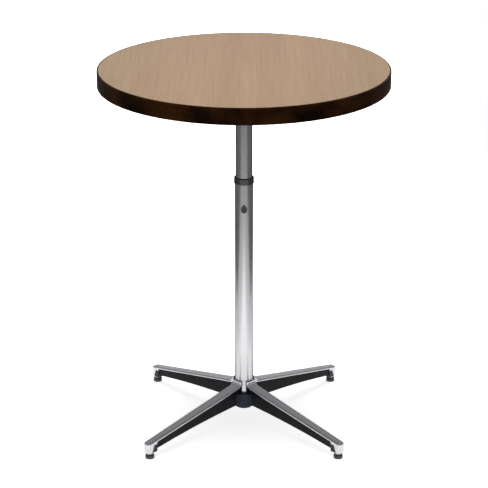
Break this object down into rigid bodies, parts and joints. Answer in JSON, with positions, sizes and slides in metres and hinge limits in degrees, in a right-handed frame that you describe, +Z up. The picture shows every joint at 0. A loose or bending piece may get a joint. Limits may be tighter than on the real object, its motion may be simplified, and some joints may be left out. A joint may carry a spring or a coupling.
{
  "type": "telescoping pedestal table",
  "caption": "Round wood-grain table on a telescoping bright-metal column with a clamp knob, standing on splayed black legs with polished caps and levelling glides.",
  "frame": {"origin": "on the floor, under the middle of the column", "axes": "+Z up, -Y towards the front with the lock knob, +X to the right seen from the front"},
  "size_m": [0.7, 0.7, 0.9144],
  "materials": {
    "wood_laminate": "satin wood-grain sheet",
    "board": "raw pressed board",
    "backing": "matt brown sheet",
    "edge_band": "satin dark brown",
    "column_metal": "bright plated",
    "black_paint": "satin black coat",
    "polished_strip": "polished",
    "black_nylon": "moulded matt",
    "knob_plastic": "moulded satin",
    "glide_plastic": "moulded matt",
    "zinc_steel": "zinc plated",
    "brass_insert": "turned"
  },
  "bodies": {
    "base": {"column_outer_tube": "column_metal", "guide_bushing": "black_nylon", "lock_boss": "column_metal", "column_foot_plug": "zinc_steel", "hub": "black_paint", "leg_bolts": "zinc_steel", "toe_screws": "zinc_steel", "glide_sockets": "brass_insert", "tie_bolt": "zinc_steel", "tie_washer": "zinc_steel", "hub_bottom_cap": "black_nylon", "leg_rear_right": "black_paint", "leg_rear_left": "black_paint", "leg_front_left": "black_paint", "leg_front_right": "black_paint", "leg_cap_rear_right": "polished_strip", "leg_cap_rear_left": "polished_strip", "leg_cap_front_left": "polished_strip", "leg_cap_front_right": "polished_strip"},
    "upper": {"top_laminate": "wood_laminate", "core_panel": "board", "backing_sheet": "backing", "edge_doubler": "board", "edge_band": "edge_band", "mounting_spider": "black_paint", "spider_screws": "zinc_steel", "top_flange": "black_paint", "flange_bolts": "zinc_steel", "column_inner_tube": "column_metal", "lower_guide_cup": "black_nylon"},
    "brake": {"brake_pad": "black_nylon"},
    "knob": {"lock_knob": "knob_plastic", "lock_stud": "zinc_steel"},
    "foot_rear_right": {"glide_pad_rear_right": "glide_plastic"},
    "screw_rear_right": {"glide_stem_rear_right": "zinc_steel"},
    "foot_rear_left": {"glide_pad_rear_left": "glide_plastic"},
    "screw_rear_left": {"glide_stem_rear_left": "zinc_steel"},
    "foot_front_left": {"glide_pad_front_left": "glide_plastic"},
    "screw_front_left": {"glide_stem_front_left": "zinc_steel"},
    "foot_front_right": {"glide_pad_front_right": "glide_plastic"},
    "screw_front_right": {"glide_stem_front_right": "zinc_steel"}
  },
  "joints": [
    {"name": "height_slide", "type": "slide", "parent": "base", "child": "upper", "axis": [0, 0, 1], "range_m": [-0.1524, 0.1524]},
    {"name": "brake_slide", "type": "slide", "parent": "base", "child": "brake", "axis": [0, -1, 0], "range_m": [0, 0.00125]},
    {"name": "knob_turn", "type": "hinge", "parent": "brake", "child": "knob", "pos_m": [0, -0.033, 0.566], "axis": [0, -1, 0], "range_deg": [0, 450]},
    {"name": "foot_rear_right_slide", "type": "slide", "parent": "base", "child": "foot_rear_right", "axis": [0, 0, -1], "range_m": [0, 0.008]},
    {"name": "screw_rear_right_turn", "type": "hinge", "parent": "foot_rear_right", "child": "screw_rear_right", "pos_m": [0.2284, 0.2284, 0.02], "axis": [0, 0, -1], "range_deg": [0, 2304]},
    {"name": "foot_rear_left_slide", "type": "slide", "parent": "base", "child": "foot_rear_left", "axis": [0, 0, -1], "range_m": [0, 0.008]},
    {"name": "screw_rear_left_turn", "type": "hinge", "parent": "foot_rear_left", "child": "screw_rear_left", "pos_m": [-0.2284, 0.2284, 0.02], "axis": [0, 0, -1], "range_deg": [0, 2304]},
    {"name": "foot_front_left_slide", "type": "slide", "parent": "base", "child": "foot_front_left", "axis": [0, 0, -1], "range_m": [0, 0.008]},
    {"name": "screw_front_left_turn", "type": "hinge", "parent": "foot_front_left", "child": "screw_front_left", "pos_m": [-0.2284, -0.2284, 0.02], "axis": [0, 0, -1], "range_deg": [0, 2304]},
    {"name": "foot_front_right_slide", "type": "slide", "parent": "base", "child": "foot_front_right", "axis": [0, 0, -1], "range_m": [0, 0.008]},
    {"name": "screw_front_right_turn", "type": "hinge", "parent": "foot_front_right", "child": "screw_front_right", "pos_m": [0.2284, -0.2284, 0.02], "axis": [0, 0, -1], "range_deg": [0, 2304]}
  ],
  "couplings": [
    {"joint": "brake_slide", "follows": "knob_turn", "m_per_rad": 0.00015915},
    {"joint": "foot_rear_right_slide", "follows": "screw_rear_right_turn", "m_per_rad": 0.00019894},
    {"joint": "foot_rear_left_slide", "follows": "screw_rear_left_turn", "m_per_rad": 0.00019894},
    {"joint": "foot_front_left_slide", "follows": "screw_front_left_turn", "m_per_rad": 0.00019894},
    {"joint": "foot_front_right_slide", "follows": "screw_front_right_turn", "m_per_rad": 0.00019894}
  ]
}
